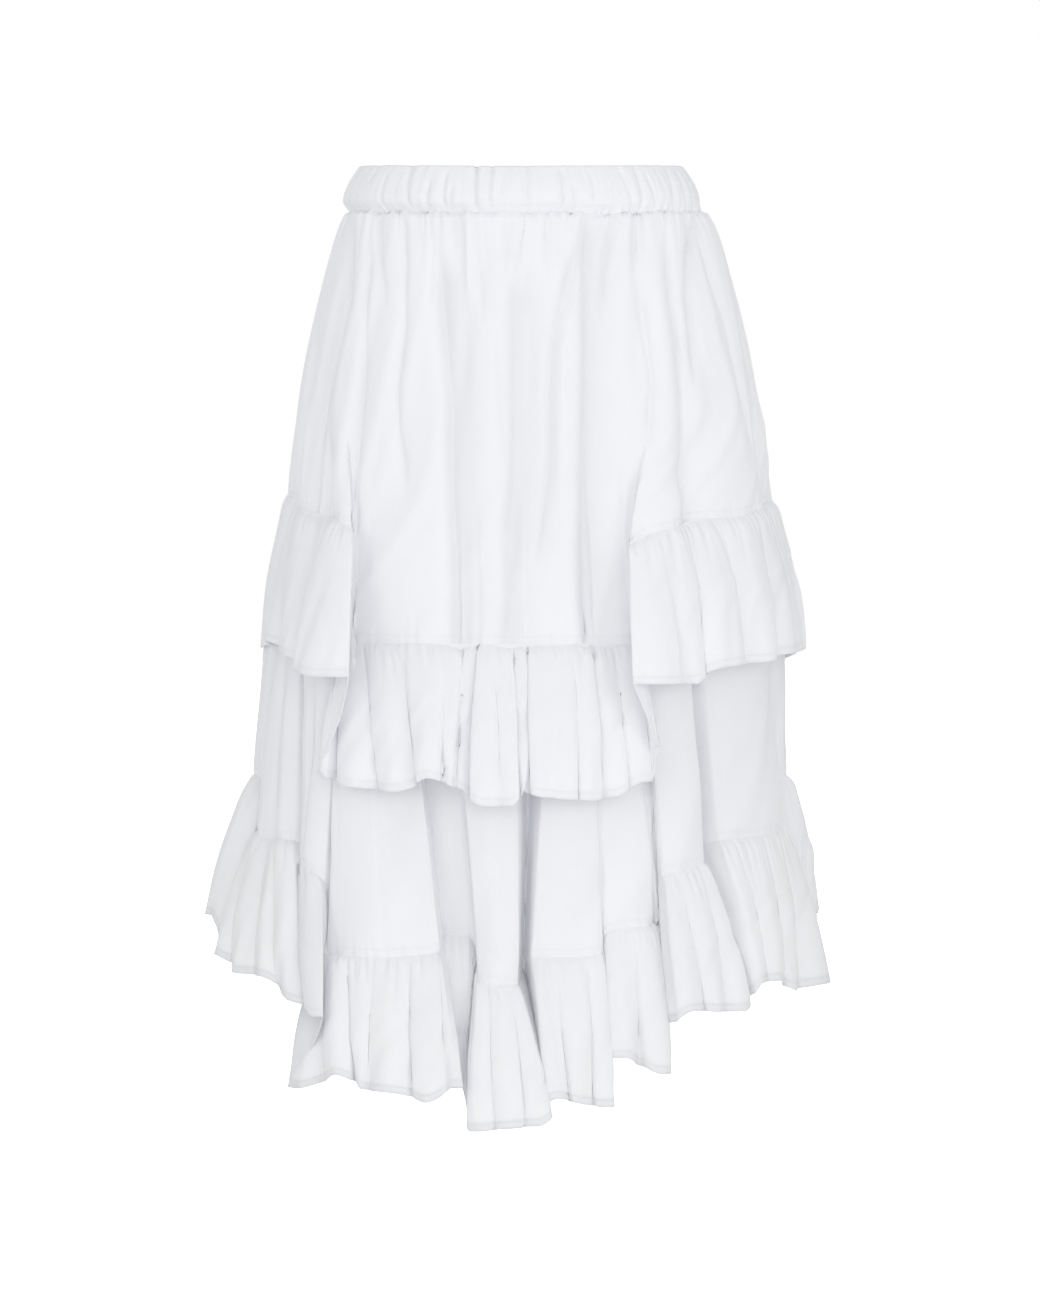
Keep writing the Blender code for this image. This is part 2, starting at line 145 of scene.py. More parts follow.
HEM_1_FRONT = {
    "side_left": [(-83, -68.5, 2, 374, -2), (-66, -55.5, 8, 384, 3)],
    "lap_left": [(-51.2, -36, 30, 399, 14)],
    "strip_left": [(-45.8, -43.6, 18, 474, -8)],
    "front_left": [
        (-41.8, -32.6, 18, 484, 7),
        (-31, -23.2, 19, 487, 13),
        (-22, -17.5, 22, 476, 15),
        (-17, -15.5, 16, 481, 12),
    ],
    "tuck_left": [(-15, -12.5, 10, 485, 5)],
    "front_mid": [
        (-11.5, -6.1, 24, 497, 17),
        (-5, -2.2, 20, 497, 7),
        (-1.6, -0.5, 14, 485, 4),
    ],
    "front_right": [
        (0.2, 4.4, 22, 490, 19),
        (5, 9, 22, 492, 15),
        (9.7, 14, 20, 493, 11),
    ],
    "turn_right": [(15, 19.6, 15, 490, 11), (20.4, 24.6, 17, 479, 14)],
    "strip_right": [(25.3, 24.6, 20, 452, 24)],
    "lap_right": [(19.5, 29.4, 29, 404, 19), (31.2, 36, 21, 404, 8)],
    "side_right": [
        (37, 47, 22, 391, 12),
        (49.5, 59, 18, 388, 10),
        (61.5, 78, 8, 383, 3),
    ],
}

HEM_2_FRONT = {
    "side_left": [(-76, -68.5, 12, 619, 4), (-67, -58.5, 12, 631, 6)],
    "lap_left": [(-57, -50, 12, 632, 8), (-48.8, -42.4, 14, 648, -8)],
    "strip_left": [(-41, -36.8, 16, 660, 0)],
    "front_left": [
        (-48.2, -40, 7, 717, 4),
        (-36, -30.8, 18, 704, 8),
        (-29.8, -27.8, 15, 714, 12),
        (-26.8, -19.6, 19, 716, 9),
        (-18.2, -13.4, 20, 723, 15),
        (-12.6, -9.6, 16, 711, -8),
    ],
    "tuck_left": [(-15, -11, -12, 714, -8)],
    "front_mid": [(-8.5, -4.2, 24, 744, 20), (-3.4, 0.8, 26, 742, 22), (1.5, 6.1, 22, 740, 8)],
    "front_right": [
        (5, 9, 14, 720, 11),
        (9.8, 13.2, 18, 724, 8),
        (13.8, 17.3, 15, 727, -4),
    ],
    "turn_right": [(17.6, 22.4, 8, 690, 2), (24, 28.9, 12, 703, 0)],
    "strip_right": [(29.2, 29.3, -4, 676, -8)],
    "lap_right": [
        (29.5, 34.9, 18, 655, 6),
        (35.7, 39.5, 19, 656, 15),
        (40.3, 46.6, 18, 657, -4),
    ],
    "side_right": [
        (47.6, 50.8, 16, 636, 11),
        (51.2, 55.6, 18, 635, 8),
        (56.6, 61, 18, 644, 13),
        (63.5, 77, 21, 641, 1),
    ],
}

# Behind, every fold carries two plain flutes: where they lie along it, how far out they and
# the tucks after them stand, and how much deeper they hang, in mm.
BackFlute = namedtuple("BackFlute", "from_share to_share out tuck_out extra_drop")
BACK_FLUTES = [BackFlute(-0.10, 0.42, 15, 5, 0), BackFlute(0.54, 1.12, 11, 2, 5)]
BACK_RUFFLE_DEPTH_1 = 117
BACK_RUFFLE_DEPTH_2 = 106

# Those next to the side seams stand out less: the fold and which of its flutes, its `out` and
# its `tuck_out`.
SLIGHT_FLUTES_1 = [("back_1", 0, 8, 0), ("back_1", 1, 7, -1)]
SLIGHT_FLUTES_1 += [("back_8", 0, 1, -7), ("back_8", 1, 1, -7)]
SLIGHT_FLUTES_2 = [("back_1", 0, 5, 5)]

# The gathers that a seam presses into the cloth beside it. They start at the seam every
# `spacing` mm or so, press `depth` mm into the cloth and run out after `reach` mm. Their
# `width` is a share of the spacing. Each one is drawn between two shares of these sizes.
Gathers = namedtuple("Gathers", "seed spacing depth reach width")
DRAWN_WIDTH = (0.6, 1.5)
DRAWN_DEPTH = (0.25, 1.0)
DRAWN_REACH = (0.25, 1.2)
DRAWN_SPACING = (0.5, 1.5)
DRAWN_LEAN = 0.05  # how far they lean off the straight run, as a slope
GATHER_TAIL = 7  # widths of a gather after which it is level
LEAN_ROOM = 0.12  # and the slope that its lean stays under

WAIST_GATHERS = [
    Gathers(11, 7, 1.6, 22, 0.22),
    Gathers(12, 14, 2.2, 60, 0.24),
    Gathers(13, 30, 2.4, 200, 0.26),
]
SEAM_PULLS = [Gathers(21, 9, 1.1, 13, 0.28), Gathers(22, 38, 1.2, 70, 0.26)]
RUFFLE_GATHERS = [
    Gathers(31, 4.8, 2, 17, 0.24),
    Gathers(32, 9, 2.4, 32, 0.20),
    Gathers(33, 26, 2, 60, 0.24),
]
PANEL_PULLS = [Gathers(41, 9, 1.1, 12, 0.28), Gathers(42, 44, 1.6, 110, 0.26)]

# Creases of the front of the upper skirt, from the waist down. `path` lists x and drop in mm.
# `left` and `right` are how wide the crease is on each side of its bottom, `depth` how deep.
Crease = namedtuple("Crease", "name path left right depth")

CREASES = [
    Crease("lobe_edge",
           [(-136, 40), (-137, 108), (-146, 147), (-154, 185), (-161, 248), (-163, 271)], 9, 3, 6.5),
    Crease("side_line", [(-119, 70), (-122, 108), (-125, 186), (-128, 248), (-130, 310)], 4, 3, 3.2),
    Crease("side_slant", [(-115, 40), (-112, 74), (-107, 105)], 2.5, 2.5, 2.2),
    Crease("first",
           [(-93, 39), (-91, 78), (-91, 132), (-96, 174), (-96, 209), (-91, 248)], 4.5, 3.5, 4),
    Crease("dot", [(-72, 36), (-71, 53)], 2, 2, 3.2),
    Crease("short_a", [(-69, 65), (-69, 109)], 2.4, 2.4, 2.6),
    Crease("long_left",
           [(-65, 80), (-63, 109), (-59, 148), (-56, 186), (-55, 248), (-52, 309), (-51, 379)], 3.5, 15, 9.5),
    Crease("short_b", [(-54, 38), (-53, 64)], 2, 2, 2.8),
    Crease("ridge_a", [(-42, 49), (-42, 92)], 2.6, 2.6, -2.8),
    Crease("hook", [(-36, 38), (-35, 63)], 1.8, 2.4, 4.2),
    Crease("hollow_a", [(-35, 71), (-31, 115)], 3, 6, 3.5),
    Crease("line_a", [(-14, 44), (-14, 92)], 2.4, 2.4, 2.4),
    Crease("faint", [(-21, 148), (-16, 186), (-12, 229)], 3, 5, 2.4),
    Crease("ridge_b", [(4, 43), (-1, 71), (-5, 96)], 3, 3, -2.6),
    Crease("centre", [(-5, 90), (-5, 148), (-5, 202), (-6, 248), (-9, 309), (-11, 379)], 5, 17, 9.2),
    Crease("line_b", [(22, 40), (20, 82)], 2.4, 2.4, 2.8),
    Crease("hollow_b", [(27, 54), (28, 77)], 3, 4, 3),
    Crease("slant", [(43, 71), (32, 109), (25, 137), (22, 186), (21, 242), (14, 309)], 3, 11, 5.8),
    Crease("slant_ridge", [(50, 80), (41, 117), (33, 144), (32, 186), (31, 240)], 5, 9, -3.8),
    Crease("broad",
           [(54, 40), (51, 80), (51, 132), (50, 186), (49, 248), (50, 309), (51, 379)], 4, 14, 10),
    Crease("short_slant", [(73, 40), (67, 74), (62, 113)], 3, 3, 3.8),
    Crease("stub", [(90, 38), (90, 82)], 2.6, 2.6, 4.2),
    Crease("stub_long", [(93, 97), (97, 132), (103, 172), (99, 213)], 3, 4, 3.8),
    Crease("right_line",
           [(115, 62), (118, 108), (123, 136), (125, 186), (128, 242), (131, 287)], 6, 4, 6.5),
    Crease("teardrop", [(141, 36), (134, 69), (132, 100), (135, 131), (136, 166)], 4, 5, 5.6),
    Crease("edge_line",
           [(142, 55), (149, 84), (161, 119), (169, 154), (175, 183), (181, 220)], 3.5, 3, 4),
]
CREASE_RUN_OUT = 40.0  # how far a crease takes to rise and to fade at its ends
CREASE_BLUNT = 0.09  # how blunt its bottom is, as a share of its width
CREASE_TURN = 2.0  # how soon the creases reach their depth where the cloth turns to the front

# Slow waves in all the cloth: how many go round the body, how many to a mm down it, where they
# start and how high they are in mm.
Wave = namedtuple("Wave", "round_body down phase height")
PANEL_WAVES = [
    Wave(13, 0.004, 0.3, 0.9),
    Wave(21, 0.003, 1.9, 0.7),
    Wave(34, 0.006, 4.1, 0.45),
    Wave(55, 0.010, 2.2, 0.25),
]
RUFFLE_WAVES = [
    Wave(29, 0.004, 0.9, 0.8),
    Wave(47, 0.006, 3.7, 0.6),
    Wave(83, 0.003, 5.0, 0.35),
    Wave(112, 0.008, 1.2, 0.25),
]

# The flat cut of each front and back piece: its largest width and length, and its area, in
# metres. The panels are shaped, the ruffles are plain strips.
Cut = namedtuple("Cut", "width length area")
UPPER_CUTS = [Cut(0.77, 0.35, 0.195), Cut(0.74, 0.30, 0.175)]
LOWER_CUTS = [Cut(1.13, 0.26, 0.230), Cut(0.97, 0.24, 0.205)]
RUFFLE_1_CUTS = [Cut(1.03, 0.13, 0.133), Cut(0.79, 0.13, 0.102)]
RUFFLE_2_CUTS = [Cut(1.29, 0.13, 0.167), Cut(0.97, 0.13, 0.126)]

STEP = 1.35  # size of the cloth's mesh round the body, mm
ROW = 4.2  # and down it
PLACES_TRIED = 300  # how finely a fold is measured before its places are spread evenly
FRONT_DIP = 3.0  # how much lower the waist sits at the centre front
FRONT_DIP_REACH = 50.0
SEAM_DIP = 0.45  # how far the cloth dips in at a seam, mm
SEAM_REACH = 2.6
WAIST_DIP = 3.6  # the same under the waistband, deeper at some of its gathers
WAIST_DIP_LEAST = 0.4  # its share between them
WAIST_PULLS = 47  # how many such gathers go round the waist
WAIST_SWAYS = 11  # how many times they crowd together
WAIST_SWAY = 3.0
RELAX_REACH = 95.0  # over which the folds of a seam are let out higher up
UNFOLD_FROM = 0.1  # the share of the upper skirt's height down to which they are out
UNFOLD_IN_FRONT = 0.35  # what the front adds to it
UNFOLD_OVER = 0.6  # the share over which they come in below
SIDE_EASE = 0.6  # how much of the fold next to a side seam goes over from back to front
CROWDING = 1.5  # how fast the gathers at the bottom fade where the cloth is drawn together
CROWN_SHARE = 1.4  # how much of a fold's crown takes a crease in full
PAINTED_SHADE_PER_MM = 0.036  # how much painted shade darkens the white where the cloth is pressed in, for each mm
PAINTED_SHADE_FROM = 1.5  # the depth, in mm, below which pressed-in cloth gets little painted shade
PANEL_WAVE_RISE = 2.5  # how soon the waves rise under the upper edge of a panel
RUFFLE_WAVE_RISE = 1.2
TOP_PUFF = 1.8  # the gathers of a ruffle stand out most just under its seam
TOP_PUFF_AT = 9.0
SEW_EASE = 5.0  # over which a ruffle eases onto the edge that it is sewn to
HEM_SLOPE = 0.35  # how far a flute's hem leads over to the next one's
HEM_JUMP = 24.0  # unless that is this much higher or lower
VALLEY = 0.8  # how steeply the narrow valleys between flutes fall in
VALLEY_WIDTH = 5.0
HEM_DEPTH = 7.0  # the narrow turned hem of a ruffle
HEM_FOLD = 0.9  # how far its turned edge lies behind
HEM_ROUND = 0.3  # how far the fold hangs under the edge
HEM_ROWS = ((0.5,), (1.0,), (HEM_DEPTH,))  # where its three rows lie, on round the edge
SIDE_SEAM_DIP = 0.7
SIDE_SEAM_WIDTH = 2.0


def smooth_through(knots, values, at):
    """A curve through the values that never swings past them (monotone cubic)."""
    gaps = np.diff(knots)
    slopes = np.diff(values) / gaps
    before, after = slopes[:-1], slopes[1:]
    weight_a = gaps[:-1] + 2 * gaps[1:]
    weight_b = 2 * gaps[:-1] + gaps[1:]
    level = before * after <= 0
    safe_before = np.where(level, 1, before)
    safe_after = np.where(level, 1, after)
    inner = (weight_a + weight_b) / (weight_b / safe_before + weight_a / safe_after)
    tangents = np.concatenate([slopes[:1], np.where(level, 0, inner), slopes[-1:]])
    i = np.clip(np.searchsorted(knots, at, side="right") - 1, 0, len(gaps) - 1)
    t = (at - knots[i]) / gaps[i]
    a, b = values[i], values[i + 1]
    m, n = tangents[i] * gaps[i], tangents[i + 1] * gaps[i]
    return (
        (2 * t**3 - 3 * t**2 + 1) * a
        + (t**3 - 2 * t**2 + t) * m
        + (3 * t**2 - 2 * t**3) * b
        + (t**3 - t**2) * n
    )


def round_the_body(knots, angles, outs, drops, oval, at):
    """Points (mm) of a closed line, from its knots along the cloth."""
    turns = len(SEAM_1)
    lap = 5  # knots repeated at each end, so that the line closes smoothly

    def closed(values, step):
        return np.concatenate([values[-lap:] - step, values, values[:lap] + step])

    along = closed(np.array(knots, float), turns)
    angle = smooth_through(along, closed(np.array(angles, float), 360), at)
    out = smooth_through(along, closed(np.array(outs, float), 0), at)
    drop = smooth_through(along, closed(np.array(drops, float), 0), at)
    turn = np.radians(angle)
    x = oval.centre_x + (oval.half_width + out) * np.sin(turn)
    y = -(oval.half_depth + out) * np.cos(turn)
    return np.stack([x, y, -drop], axis=1)


def edge_fall(fold, oval):
    """How far the edges of a fold lie behind its crown."""
    width = math.radians(abs(fold.ends - fold.begins)) * oval.half_depth
    return min(EDGE_ROUND, EDGE_SHARE * width)


def seam_line(folds, oval, at):
    """Points of a seam, at places counted in folds round the body."""
    knots, angles, outs, drops = [], [], [], []
    for index, fold in enumerate(folds):
        follower = folds[(index + 1) % len(folds)]
        fall = min(edge_fall(fold, oval), max(fold.out - fold.tuck_out, 0) / 2)
        knots += [index + share for share in FOLD_KNOTS]
        angles += [fold.begins, (fold.begins + fold.ends) / 2, fold.ends, fold.tuck]
        outs += [fold.out - fall, fold.out, fold.out - fall, fold.tuck_out]
        drops += [fold.drop_a, fold.drop_b, fold.drop_c, (fold.drop_c + follower.drop_a) / 2]
    return round_the_body(knots, angles, outs, drops, oval, at)


def back_flutes(fold, depth):
    """The flutes of a fold of the back, as deep as the ruffle is there."""
    width = fold.ends - fold.begins
    return [
        Flute(
            fold.begins + flute.from_share * width,
            fold.begins + flute.to_share * width,
            flute.out,
            fold.drop_b + depth + flute.extra_drop,
            flute.tuck_out,
        )
        for flute in BACK_FLUTES
    ]


def all_flutes(front, seam, back_depth, slight_flutes):
    """Every flute of a hem, listed under its fold."""
    flutes = {name: [Flute(*row) for row in rows] for name, rows in front.items()}
    for fold in seam:
        if fold.name.startswith("back"):
            flutes[fold.name] = back_flutes(fold, back_depth)
    for name, place, out, tuck_out in slight_flutes:
        flutes[name][place] = flutes[name][place]._replace(out=out, tuck_out=tuck_out)
    return flutes


def hem_line(flutes, oval, at):
    """Points of a hem, at the places of the seam that it hangs from."""
    knots, angles, outs, drops = [], [], [], []
    ordered = [flute for fold in SEAM_1 for flute in flutes[fold.name]]
    place = 0
    for index, fold in enumerate(SEAM_1):
        own = flutes[fold.name]
        for number, flute in enumerate(own):
            leader = ordered[place - 1]
            place += 1
            follower = ordered[place % len(ordered)]
            next_begins = follower.begins + (360 if place == len(ordered) else 0)
            steps = [other.drop - flute.drop for other in (leader, follower)]
            slope_in, slope_out = [HEM_SLOPE * step if abs(step) < HEM_JUMP else 0 for step in steps]
            fall = edge_fall(flute, oval)
            gap = math.radians(next_begins - flute.ends) * oval.half_depth
            shallowest = min(flute.out, follower.out) - fall - VALLEY * gap
            narrow = 0 < gap < VALLEY_WIDTH
            tuck_out = max(flute.tuck_out, shallowest) if narrow else flute.tuck_out
            middle = (flute.begins + flute.ends) / 2
            knots += [index + (number + share) / len(own) for share in FLUTE_KNOTS]
            angles += [flute.begins, middle, flute.ends, (flute.ends + next_begins) / 2]
            outs += [flute.out - fall, flute.out, flute.out - fall, tuck_out]
            drops += [flute.drop + slope_in, flute.drop, flute.drop + slope_out]
            drops.append((flute.drop + follower.drop) / 2)
    return round_the_body(knots, angles, outs, drops, oval, at)


HEM_1 = all_flutes(HEM_1_FRONT, SEAM_1, BACK_RUFFLE_DEPTH_1, SLIGHT_FLUTES_1)
HEM_2 = all_flutes(HEM_2_FRONT, SEAM_2, BACK_RUFFLE_DEPTH_2, SLIGHT_FLUTES_2)
SIDE_SEAM = sum(not fold.name.startswith("back") for fold in SEAM_1)


def waist_line(at):
    """The top edge of the panels, under the waistband."""
    places = even_places([seam_1_line])
    seam = relaxed(seam_1_line(places), SEAM_1_OVAL)
    across = (seam[:, 0] - SEAM_1_OVAL.centre_x) / SEAM_1_OVAL.half_width
    turn = np.degrees(np.unwrap(np.arctan2(across, -seam[:, 1] / SEAM_1_OVAL.half_depth)))
    turn = np.interp(at, np.append(places, len(SEAM_1)), np.append(turn, turn[0] + 360))
    next_turn = [(first + 360, last + 360) for first, last in WAIST_SHARES[:3]]
    shares = np.array(WAIST_SHARES + next_turn)
    turn = np.radians(smooth_through(shares[:, 0], shares[:, 1].astype(float), turn))
    x = WAIST_OVAL.centre_x + WAIST_OVAL.half_width * np.sin(turn)
    y = -WAIST_OVAL.half_depth * np.cos(turn)
    return np.stack([x, y, np.full_like(x, -(BAND_HEIGHT + SEAM_GAP))], axis=1)


def seam_1_line(at):
    return seam_line(SEAM_1, SEAM_1_OVAL, at)


def seam_2_line(at):
    return seam_line(SEAM_2, SEAM_2_OVAL, at)


def hem_1_line(at):
    return hem_line(HEM_1, HEM_1_OVAL, at)


def hem_2_line(at):
    return hem_line(HEM_2, HEM_2_OVAL, at)


def outward(line):
    """Unit vectors that point off the body, level, at each point of a closed line."""
    along = np.roll(line, -1, axis=0) - np.roll(line, 1, axis=0)
    facing = np.stack([along[:, 1], -along[:, 0], np.zeros(len(line))], axis=1)
    return facing / np.linalg.norm(facing, axis=1, keepdims=True)


def behind_seam_1(at):
    """The top edge of the lower skirt, a layer behind the ruffle in the same seam."""
    shares = np.array(LOWER_SHARES)
    line = seam_1_line(smooth_through(shares[:, 0], shares[:, 1], at))
    return line - LAYER_STEP * outward(line)


def even_places(lines):
    """Places round the body, a step apart on the longer of the lines, with both side seams."""
    places = []
    for first, last in ((0, SIDE_SEAM), (SIDE_SEAM, len(SEAM_1))):
        fine = np.linspace(first, last, PLACES_TRIED * (last - first) + 1)
        steps = [np.linalg.norm(np.diff(line(fine), axis=0), axis=1) for line in lines]
        along = np.concatenate([[0], np.cumsum(np.max(steps, axis=0))])
        count = round(along[-1] / STEP)
        places.append(np.interp(np.linspace(0, along[-1], count + 1)[:-1], along, fine))
    return np.concatenate(places)


def run_length(points, axis):
    """Distance travelled along one axis of a grid of points, from its start."""
    steps = np.linalg.norm(np.diff(points, axis=axis), axis=2)
    return np.concatenate([np.zeros_like(steps.take([0], axis)), np.cumsum(steps, axis)], axis)


def smooth_step(value):
    """From 0 to 1 as the value goes from 0 to 1, level at both ends."""
    value = np.clip(value, 0, 1)
    return value * value * (3 - 2 * value)


def near(away, reach):
    """1 at no distance, fading out over the reach."""
    return np.exp(-((away / reach) ** 2))


def trough(depth, off):
    """The depth of a crease, at a distance off its middle in widths."""
    return depth / (1 + off**2) ** 1.5


def relaxed(line, oval):
    """The same closed line with its folds let out round the oval."""
    count = round(3 * RELAX_REACH / STEP)
    weights = near(np.arange(-count, count + 1) * STEP, RELAX_REACH)
    across = (line[:, 0] - oval.centre_x) / oval.half_width
    ahead = -line[:, 1] / oval.half_depth
    even = np.linspace(0, TURN, len(line) + 1)[:-1]
    slack = np.unwrap(np.arctan2(across, ahead)) - even
    values = np.stack([slack, np.hypot(across, ahead), line[:, 2]])
    shifts = enumerate(weights, -count)
    values = sum(np.roll(values, shift, axis=1) * weight for shift, weight in shifts)
    slack, size, height = values / weights.sum()
    x = oval.centre_x + oval.half_width * size * np.sin(slack + even)
    y = -oval.half_depth * size * np.cos(slack + even)
    return np.stack([x, y, height], axis=1)


class Cloth:
    """A tube of cloth between two lines round the body, as a grid of points [row, place]."""

    def __init__(self, top, bottom, bend, puff):
        self.at = even_places([top, bottom])
        upper, lower = top(self.at), bottom(self.at)
        depth = np.linalg.norm(lower - upper, axis=1).max()
        share = np.linspace(0, 1, round(depth / ROW) + 1)[:, None]
        self.share = np.broadcast_to(share, (len(share), len(self.at)))
        self.points = self.hung(upper, lower, bend)
        # How much painted shade darkens the colour at each point, built up where the cloth is pressed in.
        self.painted_shade = np.zeros(self.points.shape[:2])
        self.press(-puff * np.sin(math.pi * self.share))
        self.measure()

    def hung(self, upper, lower, bend):
        """Points from the upper line down to the lower one, widening as the bend says."""
        share = self.share[..., None]
        points = upper + (lower - upper) * share
        points[..., :2] = (upper + (lower - upper) * share**bend)[..., :2]
        return points

    def measure(self):
        """Distances along the cloth: down it, up it and round it."""
        self.down = run_length(self.points, 0)
        self.up = self.down[-1] - self.down
        closed = np.concatenate([self.points, self.points[:, :1]], axis=1)
        across = run_length(closed, 1)
        self.along_top, self.girth_top = across[0, :-1], across[0, -1]
        self.along_bottom, self.girth_bottom = across[-1, :-1], across[-1, -1]
        self.across, self.girth = across, across[:, -1:]
        self.turn = TURN * across[:, :-1] / across[:, -1:]
        step = np.diff(across, axis=1)
        self.drawn_in = np.clip(step / step[-1], 0, 1) ** CROWDING  # 1 at the bottom line

    def facing(self):
        """Unit vectors that point out of the cloth."""
        along = np.roll(self.points, -1, axis=1) - np.roll(self.points, 1, axis=1)
        down = np.gradient(self.points, axis=0)
        facing = np.cross(down, along)
        return facing / np.linalg.norm(facing, axis=2, keepdims=True)

    def unfold(self, weight, oval, bend):
        """Lets the folds of the bottom line out of the cloth, where `weight` says so."""
        smooth = self.hung(self.points[0], relaxed(self.points[-1], oval), bend)
        self.points += (smooth - self.points) * weight[..., None]
        self.measure()

    def press(self, depth, shade=0.0):
        """Moves the cloth in by `depth` mm, less so on the flanks of its folds, and keeps a painted shade for
        its colour where it is pressed in.
        """
        facing = self.facing()
        oval = np.array([SEAM_1_OVAL.half_width, SEAM_1_OVAL.half_depth])
        off_body = self.points[..., :2] / oval**2
        off_body /= np.linalg.norm(off_body, axis=2, keepdims=True)
        crown = smooth_step(np.sum(facing[..., :2] * off_body, axis=2) * CROWN_SHARE)
        self.points -= facing * (crown * depth)[..., None]
        # Painted shade: the deeper the cloth is pressed in, the darker its colour is painted.
        deep = np.clip(depth, 0, None)
        self.painted_shade += shade * crown * deep**2 / (deep + PAINTED_SHADE_FROM)


def sew_top(cloth, upper):
    """Brings the top of the cloth onto the bottom edge of the piece above, easing out below."""
    places = np.append(upper.at, len(SEAM_1))
    line = np.concatenate([upper.bottom_edge, upper.bottom_edge[:1]])
    edge = np.stack([np.interp(cloth.at, places, side) for side in line.T], axis=1)
    ease = near(cloth.down, SEW_EASE)[..., None]
    cloth.points += (edge - cloth.points[0]) * ease


def gathered(along, girth, away, styles):
    """How deep the gathers of a seam press in. `away` is the distance from the seam."""
    depth = np.zeros(away.shape)
    for style in styles:
        draw = np.random.default_rng(style.seed)
        place = 0.0
        while place < girth:
            width = style.width * style.spacing * draw.uniform(*DRAWN_WIDTH)
            deep = style.depth * draw.uniform(*DRAWN_DEPTH)
            reach = style.reach * draw.uniform(*DRAWN_REACH)
            lean = draw.normal(0, DRAWN_LEAN)
            off = (along - place + girth / 2) % girth - girth / 2
            beside = np.abs(off) < GATHER_TAIL * width + LEAN_ROOM * away.max()
            run = away[:, beside]
            wide = width * (1 + run / (2 * style.reach))
            across = (off[beside] - lean * run) / wide
            depth[:, beside] += trough(deep * near(run, reach), across)
            place += style.spacing * draw.uniform(*DRAWN_SPACING)
    return depth


def creased(cloth):
    """How deep the front creases of the upper skirt press in."""
    depth = np.zeros(cloth.points.shape[:2])
    x, drop = cloth.points[..., 0], -cloth.points[..., 2]
    in_front = smooth_step(-cloth.facing()[..., 1] * CREASE_TURN)
    for crease in CREASES:
        path = np.array(crease.path, float)
        off = x - np.interp(drop, path[:, 1], path[:, 0])
        width = np.where(off < 0, crease.left, crease.right)
        blunt = CREASE_BLUNT * (crease.left + crease.right)
        across = np.exp(-(np.sqrt(off**2 + blunt**2) - blunt) / width)
        rise = smooth_step((drop - path[0, 1]) / CREASE_RUN_OUT + 0.5)
        fall = smooth_step((path[-1, 1] - drop) / CREASE_RUN_OUT + 0.5)
        depth += crease.depth * across * rise * fall * in_front
    return depth


def waved(cloth, waves):
    """How high the slow waves stand on the cloth."""
    height = np.zeros(cloth.points.shape[:2])
    for wave in waves:
        slant = wave.phase + TURN * wave.down * cloth.down
        height += wave.height * np.sin(wave.round_body * cloth.turn + slant)
    return height


def seam_dip(away):
    """How far the cloth dips in beside a seam."""
    return SEAM_DIP * near(away, SEAM_REACH)


def side_seam_dip(cloth):
    """The shallow groove where front and back are sewn together."""
    along = cloth.across[:, :-1]
    seam = int(np.searchsorted(cloth.at, SIDE_SEAM))
    off = np.minimum(along, cloth.girth - along)
    off = np.minimum(off, np.abs(along - along[:, seam, None]))
    return SIDE_SEAM_DIP * near(off, SIDE_SEAM_WIDTH)


def turned_hem(cloth):
    """Three more rows that fold the edge of a ruffle under to its inner side."""
    facing = cloth.facing()
    edge = cloth.points[-1]
    fold = edge - facing[-1] * HEM_FOLD / 2 - (0, 0, HEM_ROUND)
    under = edge - facing[-1] * HEM_FOLD
    row = np.argmin(np.abs(cloth.up - HEM_DEPTH), axis=0)
    place = np.arange(len(cloth.at))
    inside = cloth.points[row, place] - facing[row, place] * HEM_FOLD
    cloth.points = np.concatenate([cloth.points, [fold, under, inside]])
    cloth.across = np.concatenate([cloth.across, cloth.across[[-1, -1, -1]]])
    cloth.painted_shade = np.concatenate([cloth.painted_shade, cloth.painted_shade[[-1, -1, -1]]])
    cloth.down = np.concatenate([cloth.down, cloth.down[-1:] + HEM_ROWS])
    level = np.zeros_like(cloth.up[:1])
    cloth.up = np.concatenate([cloth.up, level, level, level + HEM_DEPTH])


def add_shell(name, points, maps, finish):
    """A mesh from a grid of points in mm, with its cloth coordinates in metres."""
    rows, columns = points.shape[:2]
    mesh = bpy.data.meshes.new(name)
    corner = np.arange(rows * columns).reshape(rows, columns)
    faces = np.stack([corner[:-1, :-1], corner[1:, :-1], corner[1:, 1:], corner[:-1, 1:]], axis=-1)
    faces = faces.reshape(-1, 4)
    mesh.from_pydata((points.reshape(-1, 3) * MM).tolist(), [], faces.tolist())
    for label, (across, down) in maps.items():
        layer = mesh.uv_layers.new(name=label)
        spot = np.stack([across, down], axis=-1).reshape(-1, 2)[faces.reshape(-1)] * MM
        layer.data.foreach_set("uv", spot.astype(np.float32).reshape(-1))
    mesh.shade_smooth()
    mesh.materials.append(finish)
    piece = bpy.data.objects.new(name, mesh)
    bpy.context.scene.collection.objects.link(piece)
    return piece


def add_halves(layer, cloth, finish, cuts):
    """The front and back pieces of one tube of cloth."""
    count = len(cloth.at)
    seam = int(np.searchsorted(cloth.at, SIDE_SEAM))
    for half, places, across, cut in (
        ("front", np.arange(0, seam + 1), cloth.across[:, : seam + 1], cuts[0]),
        ("back", np.arange(seam, count + 1) % count, cloth.across[:, seam:], cuts[1]),
    ):
        across = across - across[:, len(places) // 2, None]
        # Painted shade: the edge map carries how much the pressed-in cloth darkens the colour, beside the
        # distance up from the hem.
        painted_shade = np.clip(cloth.painted_shade[:, places], 0, 1) / MM
        maps = {"cloth": (across, cloth.down[:, places]), "edge": (painted_shade, cloth.up[:, places])}
        node = f"{layer}_{half}"
        piece = add_shell(f"{node}_cloth", cloth.points[:, places], maps, finish)
        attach(piece, "root")
        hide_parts(node)


def front_dip(points):
    """The waist sits a little lower at the centre front."""
    return FRONT_DIP * np.clip(-points[..., 1] / BAND_TOP_OVAL.half_depth, 0, 1) ** 2


def gathered_below(cloth, styles):
    """The gathers that the seam at the bottom of a panel presses in."""
    return gathered(cloth.along_bottom, cloth.girth_bottom, cloth.up, styles) * cloth.drawn_in


